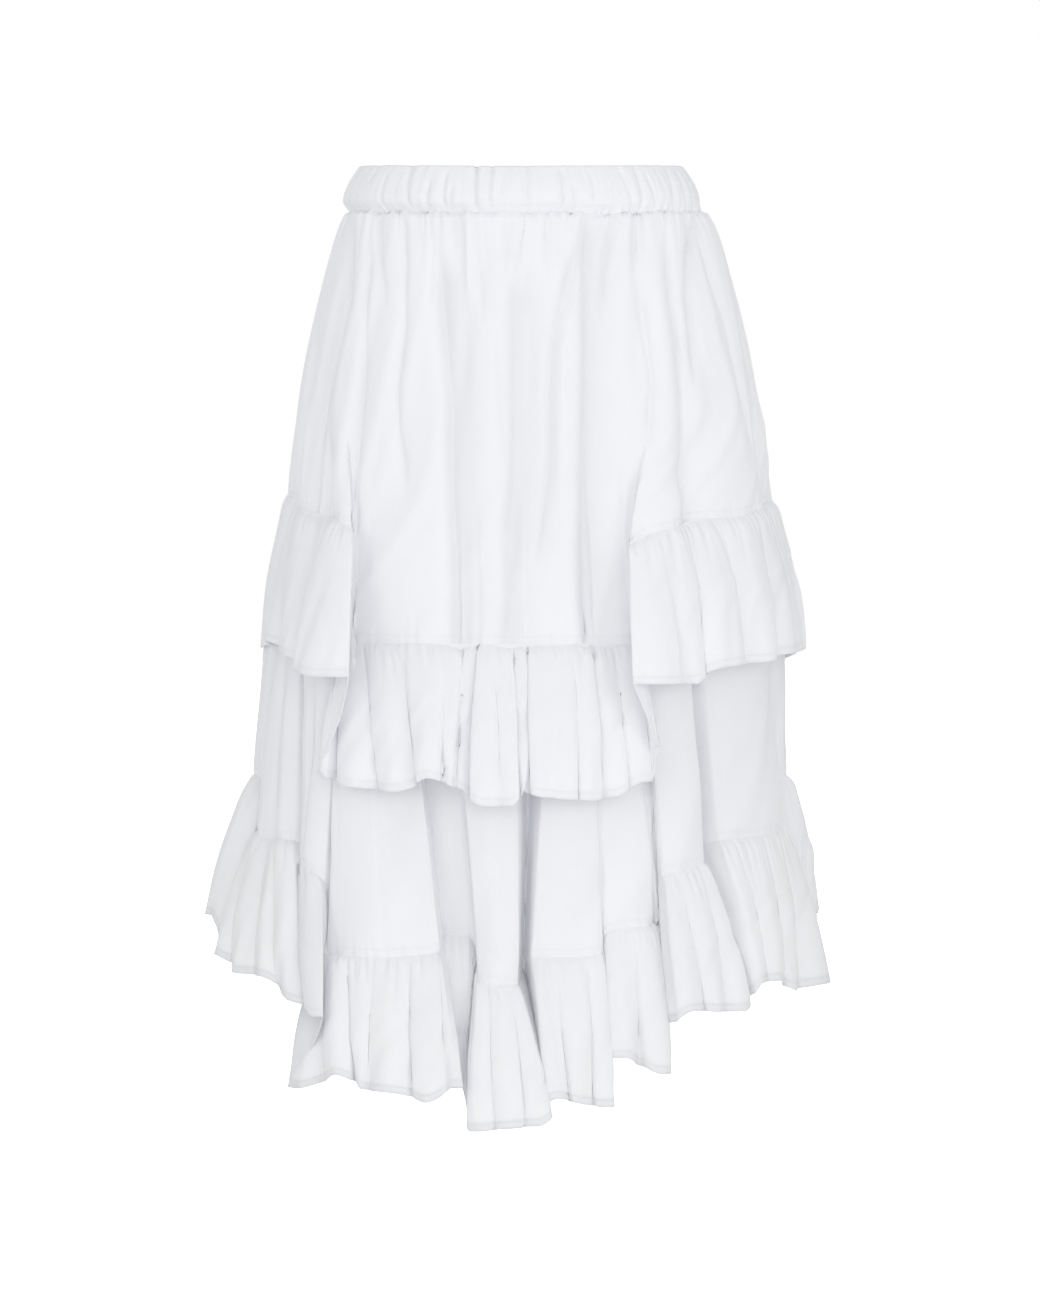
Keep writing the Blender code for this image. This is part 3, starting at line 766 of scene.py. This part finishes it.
def upper_skirt():
    """The top tier: creased in front, gathered under the waistband."""
    cloth = Cloth(waist_line, seam_1_line, SPREAD, 0.0)
    in_front = smooth_step(cloth.at / SIDE_EASE) * smooth_step((SIDE_SEAM - cloth.at) / SIDE_EASE)
    taken_in = smooth_step((cloth.share - UNFOLD_FROM - UNFOLD_IN_FRONT * in_front) / UNFOLD_OVER)
    cloth.unfold(1 - taken_in, SEAM_1_OVAL, SPREAD)
    cloth.points[..., 2] -= front_dip(cloth.points) * near(cloth.down, FRONT_DIP_REACH)
    # The creases, gathers and dips below also paint shade into the colour where they press in.
    cloth.press(creased(cloth), PAINTED_SHADE_PER_MM)
    cloth.press(-waved(cloth, PANEL_WAVES) * smooth_step(cloth.share * PANEL_WAVE_RISE))
    cloth.press(gathered(cloth.along_top, cloth.girth_top, cloth.down, WAIST_GATHERS), PAINTED_SHADE_PER_MM)
    cloth.press(gathered_below(cloth, SEAM_PULLS), PAINTED_SHADE_PER_MM)
    cloth.press(seam_dip(cloth.up) + side_seam_dip(cloth), PAINTED_SHADE_PER_MM)
    sway = WAIST_SWAY * np.sin(WAIST_SWAYS * cloth.turn)
    pulled = 0.5 + 0.5 * np.sin(WAIST_PULLS * cloth.turn + sway)
    dip = WAIST_DIP * (WAIST_DIP_LEAST + (1 - WAIST_DIP_LEAST) * pulled)
    cloth.press(dip * near(cloth.down, SEAM_REACH), PAINTED_SHADE_PER_MM)
    cloth.bottom_edge = cloth.points[-1]
    return cloth


def ruffle(top, bottom, panel):
    """A gathered ruffle that is sewn to the bottom edge of the panel above."""
    cloth = Cloth(top, bottom, FLARE, PUFF)
    cloth.press(-TOP_PUFF * cloth.down / TOP_PUFF_AT * np.exp(1 - cloth.down / TOP_PUFF_AT))
    cloth.press(-waved(cloth, RUFFLE_WAVES) * smooth_step(cloth.share * RUFFLE_WAVE_RISE))
    # Its gathers and seam dips also paint shade into the colour where they press in.
    cloth.press(gathered(cloth.along_top, cloth.girth_top, cloth.down, RUFFLE_GATHERS), PAINTED_SHADE_PER_MM)
    cloth.press(seam_dip(cloth.down) + side_seam_dip(cloth), PAINTED_SHADE_PER_MM)
    sew_top(cloth, panel)
    turned_hem(cloth)
    return cloth


def lower_skirt():
    """The second tier, which hangs from the first seam behind ruffle 1."""
    cloth = Cloth(behind_seam_1, seam_2_line, SETTLE, 0.0)
    cloth.press(-waved(cloth, PANEL_WAVES) * smooth_step(cloth.share * PANEL_WAVE_RISE))
    # Its pulls and seam dips also paint shade into the colour where they press in.
    cloth.press(gathered_below(cloth, PANEL_PULLS), PAINTED_SHADE_PER_MM)
    cloth.press(seam_dip(cloth.up) + side_seam_dip(cloth), PAINTED_SHADE_PER_MM)
    cloth.bottom_edge = cloth.points[-1]
    return cloth


# The waistband: a strip folded over elastic. Its section runs up the outer face, over the top
# edge and down the inner face: the drop, and how far it lies outside the band's oval, in mm.
BAND_TOP = (0.2, -0.4)
BAND_OUTER = [(33.2, 12.0), (31.5, 12.7), (28.0, 13.0), (22.0, 11.6), (14.0, 8.2), (6.0, 3.4)]
BAND_OUTER += [(1.5, 0.6), BAND_TOP]
BAND_INNER = [(0.4, -1.6), (3.0, -2.4), (14.0, 5.0), (28.0, 9.4), (33.0, 8.6)]
BAND_ROWS = 44
BAND_STEP = 1.1  # size of its mesh round the body, mm
BAND_FULLNESS = 16.0  # what the section adds to the sum of the oval's half width and depth
BAND_SWELL = 0.8  # how far the elastic makes the casing swell between its edges
BAND_EDGE_SHARE = 0.4  # the share of its gathers that is left at the edges
BAND_INNER_SHARE = 0.25  # and on the inner face, which goes over
BAND_INNER_OVER = 6.0
BAND_SAG = 0.9  # how far the top edge dips into a gather, as a share of its depth
BAND_SAG_REACH = 4.0
BAND_EASE = 3.0  # over which its lower edge eases onto the skirt
BAND_SHADE_DEEPEST = 6.0  # a gather this deep, in mm, gets no more painted shade when deeper
BAND_RUN_OUT = 8.0  # how far a crease takes to rise and to fade at its ends
BAND_GATHERS = [Gathers(51, 6, 0.8, 90, 0.24), Gathers(52, 15, 1.2, 90, 0.24)]
BAND_PINCHES = [Gathers(53, 4.6, 0.8, 7, 0.26)]

# The deeper creases of the gathered band. `top_at` and `bottom_at` are degrees round the body,
# `begins` and `ends` drops, `depth` and `width` mm.
BandCrease = namedtuple("BandCrease", "top_at bottom_at begins ends depth width")

BAND_CREASES = [
    (-61.5, -61.5, -4, 14, 1.8, 2.2), (-53, -51, 8, 36, 1.5, 2.2),
    (-42.5, -38.5, -4, 30, 2.4, 2.4), (-31.7, -31.7, 14, 36, 2, 2),
    (-26.5, -25.5, 6, 36, 2.8, 2.2), (-22.5, -23.5, 16, 36, 2, 1.8),
    (-16, -14.6, -4, 36, 3.4, 2), (-10.2, -10.2, -4, 30, 2.4, 1.8),
    (-6, -7, 6, 24, 1.7, 2.2), (2.3, 2.3, -4, 36, 2.2, 1.6),
    (13.9, 13.5, 4, 36, 2.6, 1.8), (16.6, 18, 16, 36, 2, 1.8),
    (24, 24, 6, 28, 2, 1.5), (36, 38.5, 4, 36, 1.8, 3.6),
    (43.5, 42.5, 2, 36, 2.4, 2.2), (47, 49, 10, 36, 2, 2.2),
    (62, 58, -4, 36, 2, 2.6), (70, 67, 4, 36, 2.2, 2.2),
    (92, 93, -4, 36, 2.4, 2.2), (104, 101, 6, 36, 2, 2.4),
    (113, 114.5, -4, 28, 2.4, 2), (125, 123, 4, 36, 2.8, 2.2),
    (137, 138, 12, 36, 1.8, 2), (146, 143.5, -4, 36, 2.6, 2.4),
    (159, 160, -4, 26, 2, 1.8), (171, 169.5, 6, 36, 3, 2.2),
    (182, 183, -4, 36, 2.2, 2), (195, 193, 10, 36, 2.4, 2.2),
    (206, 207, -4, 30, 2.2, 2), (217, 215, -4, 36, 2.8, 2.4),
    (231, 232.5, 8, 36, 2, 2), (243, 241, -4, 36, 2.4, 2.2),
    (257, 258, 4, 30, 2, 2), (270, 268, -4, 36, 2.4, 2.2),
    (284, 285, 6, 36, 2, 2),
]


def band_creased(degrees, drop):
    """How deep the creases press into the band, for its columns and rows."""
    depth = np.zeros((len(drop), len(degrees)))
    for crease in (BandCrease(*row) for row in BAND_CREASES):
        share = drop / BAND_HEIGHT
        centre = crease.top_at + (crease.bottom_at - crease.top_at) * share
        off = np.radians((degrees - centre + 180) % 360 - 180) * BAND_TOP_OVAL.half_width
        rise = smooth_step((drop - crease.begins) / BAND_RUN_OUT + 0.5)
        fall = smooth_step((crease.ends - drop) / BAND_RUN_OUT + 0.5)
        depth += trough(crease.depth * (rise * fall), off / crease.width)
    return depth


def band_pressed(turn, drop, girth):
    """How deep gathers and creases press into the band, for its columns and rows."""
    along = turn / TURN * girth
    away = np.broadcast_to(drop, (len(drop), len(turn)))
    swell = np.sin(math.pi * np.clip(away / BAND_HEIGHT, 0, 1))
    press = gathered(along, girth, away, BAND_GATHERS)
    press *= BAND_EDGE_SHARE + (1 - BAND_EDGE_SHARE) * swell
    press += gathered(along, girth, BAND_HEIGHT - away, BAND_PINCHES)
    press += gathered(along, girth, away, BAND_PINCHES)
    return press + (band_creased(np.degrees(turn), drop) - BAND_SWELL * swell)


def edge_of_skirt(skirt, line):
    """The points of the skirt's top edge that lie next to the points of a line."""
    seam = skirt.points[0]
    seam_turn = np.arctan2(seam[:, 0] - WAIST_OVAL.centre_x, -seam[:, 1]) % TURN
    line_turn = np.arctan2(line[:, 0] - WAIST_OVAL.centre_x, -line[:, 1]) % TURN
    order = np.argsort(seam_turn)
    seam_turn, seam = seam_turn[order], seam[order]
    sides = [np.interp(line_turn, seam_turn, side, period=TURN) for side in seam.T]
    return np.stack(sides, axis=1)


def add_waistband(finish, skirt):
    """The gathered casing, its lower edge eased onto the skirt."""
    section = np.array(BAND_OUTER + BAND_INNER)
    steps = np.linalg.norm(np.diff(section, axis=0), axis=1)
    along_section = np.concatenate([[0], np.cumsum(steps)])
    reach = np.linspace(0, along_section[-1], BAND_ROWS)
    drop = np.interp(reach, along_section, section[:, 0])[:, None]
    growth = np.interp(reach, along_section, section[:, 1])[:, None]
    girth = math.pi * (BAND_TOP_OVAL.half_width + BAND_TOP_OVAL.half_depth + BAND_FULLNESS)
    turn = np.linspace(0, TURN, round(girth / BAND_STEP) + 1)[:-1]
    press = band_pressed(turn, drop, girth)
    from_top = (reach - along_section[len(BAND_OUTER) - 1])[:, None]
    outer = smooth_step(0.5 - from_top / BAND_INNER_OVER)
    press *= BAND_INNER_SHARE + (1 - BAND_INNER_SHARE) * outer
    out = growth - press
    x = BAND_TOP_OVAL.centre_x + (BAND_TOP_OVAL.half_width + out) * np.sin(turn)
    y = -(BAND_TOP_OVAL.half_depth + out) * np.cos(turn)
    sag = BAND_SAG * np.clip(press, 0, None) * near(drop, BAND_SAG_REACH)
    points = np.stack([x, y, -(drop + sag)], axis=-1)
    points[..., 2] -= front_dip(points)
    points += (edge_of_skirt(skirt, points[0]) - points[0]) * near(reach[:, None, None], BAND_EASE)
    points = np.concatenate([points, points[:, :1]], axis=1)
    across = np.broadcast_to(np.append(turn / TURN * girth, girth), points.shape[:2])
    down = np.broadcast_to(reach[:, None], points.shape[:2])
    # Painted shade: the band is painted darker where its gathers and creases press in.
    painted_shade = np.clip(press, 0, BAND_SHADE_DEEPEST) * PAINTED_SHADE_PER_MM / MM
    painted_shade = np.concatenate([painted_shade, painted_shade[:, :1]], axis=1)
    maps = {"cloth": (across, down), "edge": (painted_shade[::-1], down)}
    piece = add_shell("waistband_cloth", points[::-1], maps, finish)
    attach(piece, "root")
    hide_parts("waistband")


class Value:
    """A number in a shader. Python's operators on it add Math nodes."""

    def __init__(self, nodes, socket):
        self.nodes = nodes
        self.socket = socket

    def math(self, operation, *others):
        terms = dict(enumerate([self, *others]))
        return self.nodes.add("ShaderNodeMath", {"operation": operation}, terms)

    def __add__(self, other):
        return self.math("ADD", other)

    __radd__ = __add__

    def __sub__(self, other):
        return self.math("SUBTRACT", other)

    def __rsub__(self, other):
        return (self * -1) + other

    def __mul__(self, other):
        return self.math("MULTIPLY", other)

    __rmul__ = __mul__

    def wave(self, pitch):
        """A sine of the value that repeats at each pitch."""
        return (self * (TURN / pitch)).math("SINE")


class Nodes:
    """A node tree that is being made: one call adds a node, sets it and links it."""

    def __init__(self, owner):
        owner.use_nodes = True
        self.tree = owner.node_tree
        self.tree.nodes.clear()

    def add(self, kind, settings=None, sockets=None, output=0):
        made = self.tree.nodes.new(kind)
        for key, setting in (settings or {}).items():
            setattr(made, key, setting)
        for key, value in (sockets or {}).items():
            if isinstance(value, Value):
                self.tree.links.new(value.socket, made.inputs[key])
            else:
                made.inputs[key].default_value = value
        return Value(self, made.outputs[output]) if made.outputs else None

    def part(self, vector, axis):
        """One coordinate of a vector: 0 is x, 1 is y."""
        return self.add("ShaderNodeSeparateXYZ", {}, {0: vector}, axis)

    def noise(self, spot, scale, detail, roughness=0.5):
        sizes = {"Vector": spot, "Scale": scale, "Detail": detail, "Roughness": roughness}
        return self.add("ShaderNodeTexNoise", {}, sizes)

    def mix(self, share, first, second):
        """A colour between two others."""
        settings = {"data_type": "RGBA", "clamp_factor": True}
        return self.add("ShaderNodeMix", settings, {0: share, 6: first, 7: second}, 2)


# The weave and the stitches, in metres of cloth.
WEAVE_PITCH = 0.0009
STITCH_PITCH = 0.0026
STITCH_WIDTH = 0.0005
STITCH_GAP = -0.35  # the stitch shows where a sine of that pitch is over this
SLUB_ALONG = 60.0  # the thicker places of the threads: how many to a metre along them
SLUB_ACROSS = 1400.0  # and across them
CRUMPLE_SCALE = 38.0
MOTTLE_SCALE = 9.0

# What each of them adds to the cloth's tone, from 0 to 1, and to its height in mm. The tones
# and the painted shade of the deepest hollows are shares of the cotton's white.
THREAD_TONE, MOTTLE_TONE, STITCH_TONE = 0.35, 0.5, 0.35
WEAVE_HEIGHT, THREAD_HEIGHT, CRUMPLE_HEIGHT, STITCH_HEIGHT = 0.03, 0.10, 0.9, 0.25
LOW_TONE, HIGH_TONE, PAINTED_SHADE_TONE = 0.96, 1.03, 0.72


def streaks(nodes, across, down):
    """Threads that are thicker in places, as streaks along the cloth and across it."""
    ways = []
    for first, second in ((SLUB_ALONG, SLUB_ACROSS), (SLUB_ACROSS, SLUB_ALONG)):
        spot = nodes.add("ShaderNodeCombineXYZ", {}, {0: across * first, 1: down * second})
        ways.append(nodes.noise(spot, 1.0, 1.0))
    return ways[0] + ways[1] - 1.0


def tint(white):
    """A white that leans a little to blue."""
    return (white, white * 1.008, white * 1.03, 1.0)


def cotton(name, white, hem_stitch, thinness):
    """Plain-woven cotton: its white, the height of its hem stitch, and the light it lets by."""
    material = bpy.data.materials.new(name)
    nodes = Nodes(material)
    cloth = nodes.add("ShaderNodeUVMap", {"uv_map": "cloth"})
    across, down = nodes.part(cloth, 0), nodes.part(cloth, 1)
    edge = nodes.add("ShaderNodeUVMap", {"uv_map": "edge"})
    painted_shade, up = nodes.part(edge, 0), nodes.part(edge, 1)
    thread = streaks(nodes, across, down)
    weave = across.wave(WEAVE_PITCH) * down.wave(WEAVE_PITCH)
    spot = nodes.add("ShaderNodeCombineXYZ", {}, {0: across, 1: down})
    crumple = nodes.noise(spot, CRUMPLE_SCALE, 3.0, 0.45)
    mottle = nodes.noise(spot, MOTTLE_SCALE, 2.0)
    stitch = up.math("COMPARE", hem_stitch, STITCH_WIDTH)
    sewn = stitch * across.wave(STITCH_PITCH).math("GREATER_THAN", STITCH_GAP)
    tone = 0.5 + thread * THREAD_TONE + (mottle - 0.5) * MOTTLE_TONE - sewn * STITCH_TONE
    colour = nodes.mix(tone, tint(white * LOW_TONE), tint(white * HIGH_TONE))
    # Painted shade: the white is painted darker where the cloth was pressed in, as the edge map says.
    colour = nodes.mix(painted_shade, colour, tint(white * PAINTED_SHADE_TONE))
    ground = weave * WEAVE_HEIGHT + thread * THREAD_HEIGHT + crumple * CRUMPLE_HEIGHT
    height = ground - sewn * STITCH_HEIGHT
    bump = nodes.add("ShaderNodeBump", {}, {"Strength": 0.7, "Distance": 0.001, "Height": height})
    looks = {
        "Base Color": colour,
        "Roughness": 0.80 + thread * 0.10,
        "Sheen Weight": 0.12,
        "Sheen Roughness": 0.5,
        "Specular IOR Level": 0.25,
        "Normal": bump,
    }
    shader = nodes.add("ShaderNodeBsdfPrincipled", {}, looks)
    through = nodes.add("ShaderNodeBsdfTranslucent", {}, {"Color": tint(white)})
    thin = nodes.add("ShaderNodeMixShader", {}, {0: thinness, 1: shader, 2: through})
    nodes.add("ShaderNodeOutputMaterial", {}, {"Surface": thin})
    return material


WHITE = (1.0, 1.0, 1.0, 1.0)
FLOOR_GREY = (0.92, 0.92, 0.92, 1.0)
FLOOR_HALF = 20.0
FLOOR_LEVEL = -0.86
SKIRT_MIDDLE = Vector((0, 0, -0.38))


def add_stage():
    """A pale floor that fades into a white room."""
    material = bpy.data.materials.new("pale_floor")
    nodes = Nodes(material)
    looks = {"Base Color": FLOOR_GREY, "Roughness": 0.9}
    glow = {"Emission Color": WHITE, "Emission Strength": 1.0}
    shader = nodes.add("ShaderNodeBsdfPrincipled", {}, looks | glow)
    nodes.add("ShaderNodeOutputMaterial", {}, {"Surface": shader})
    mesh = bpy.data.meshes.new("floor")
    low, high = -FLOOR_HALF, FLOOR_HALF
    square = [(low, low), (high, low), (high, high), (low, high)]
    corners = [(x, y, FLOOR_LEVEL) for x, y in square]
    mesh.from_pydata(corners, [], [(0, 1, 2, 3)])
    mesh.materials.append(material)
    floor = bpy.data.objects.new("floor", mesh)
    floor.visible_diffuse = False
    floor.visible_glossy = False
    bpy.context.scene.collection.objects.link(floor)


def add_room_light(ahead, behind):
    """A room that is full white to the eye, and lights the cloth a little less from behind."""
    world = bpy.data.worlds.new("white_room")
    bpy.context.scene.world = world
    nodes = Nodes(world)
    way = nodes.part(nodes.add("ShaderNodeTexCoord"), 1)
    ends = {"Value": way, "From Min": -1.0, "To Min": ahead, "To Max": behind}
    light = nodes.add("ShaderNodeMapRange", {}, ends)
    seen = nodes.add("ShaderNodeLightPath")
    level = nodes.add("ShaderNodeMapRange", {}, {"Value": seen, "To Min": light, "To Max": 1.0})
    background = nodes.add("ShaderNodeBackground", {}, {"Color": WHITE, "Strength": level})
    nodes.add("ShaderNodeOutputWorld", {}, {"Surface": background})


def add_soft_box(name, place, size, power):
    """A square soft light that faces the skirt."""
    light = bpy.data.lights.new(name, "AREA")
    light.shape = "SQUARE"
    light.size = size
    light.energy = power
    box = bpy.data.objects.new(name, light)
    box.location = place
    box.rotation_euler = (SKIRT_MIDDLE - Vector(place)).to_track_quat("-Z", "Y").to_euler()
    bpy.context.scene.collection.objects.link(box)


def add_camera():
    place = Vector((0, -6, -0.25))
    target = Vector((-0.0008, 0, -0.382))
    frame_height = 1.027  # metres of the skirt's plane that the upright frame takes in
    camera = bpy.data.objects.new("camera", bpy.data.cameras.new("camera"))
    camera.location = place
    camera.rotation_euler = (target - place).to_track_quat("-Z", "Y").to_euler()
    camera.data.lens = camera.data.sensor_width * (target - place).length / frame_height
    camera.data.clip_start = 0.1
    camera.data.clip_end = 100.0
    bpy.context.scene.collection.objects.link(camera)
    bpy.context.scene.camera = camera


def main():
    # How white the cotton is, how high its hem stitch lies (m) and how much light it lets by.
    # The whites of the lower skirt and ruffle 2 are darker by painted shade: one cotton, darker lower down.
    upper_cotton = cotton("upper_cotton_weave", 0.893, 0.0055, 0.17)
    lower_shaded_cotton = cotton("lower_cotton_weave_painted_shade", 0.85, 0.0055, 0.17)
    ruffle_2_shaded_cotton = cotton("ruffle_2_cotton_weave_painted_shade", 0.82, 0.0055, 0.13)
    band_cotton = cotton("waistband_cotton_weave", 0.89, -1.0, 0.12)
    upper, lower = upper_skirt(), lower_skirt()
    ruffle_1 = ruffle(seam_1_line, hem_1_line, upper)
    ruffle_2 = ruffle(seam_2_line, hem_2_line, lower)
    add_halves("upper", upper, upper_cotton, UPPER_CUTS)
    add_halves("ruffle_1", ruffle_1, upper_cotton, RUFFLE_1_CUTS)
    add_halves("lower", lower, lower_shaded_cotton, LOWER_CUTS)
    add_halves("ruffle_2", ruffle_2, ruffle_2_shaded_cotton, RUFFLE_2_CUTS)
    add_waistband(band_cotton, upper)
    add_stage()
    add_room_light(0.93, 0.60)
    add_soft_box("front_light", (0.7, -5.1, 0.5), 2.4, 25)
    add_soft_box("left_fill", (-3.2, -4.0, 0.3), 2.4, 26)
    add_soft_box("right_fill", (3.4, -3.8, 0.3), 2.4, 32)
    add_soft_box("back_light", (-1.2, 5.2, 0.8), 2.0, 100)
    bpy.context.scene.cycles.diffuse_bounces = 8
    add_camera()
    bpy.context.scene.view_settings.view_transform = "Standard"


main()
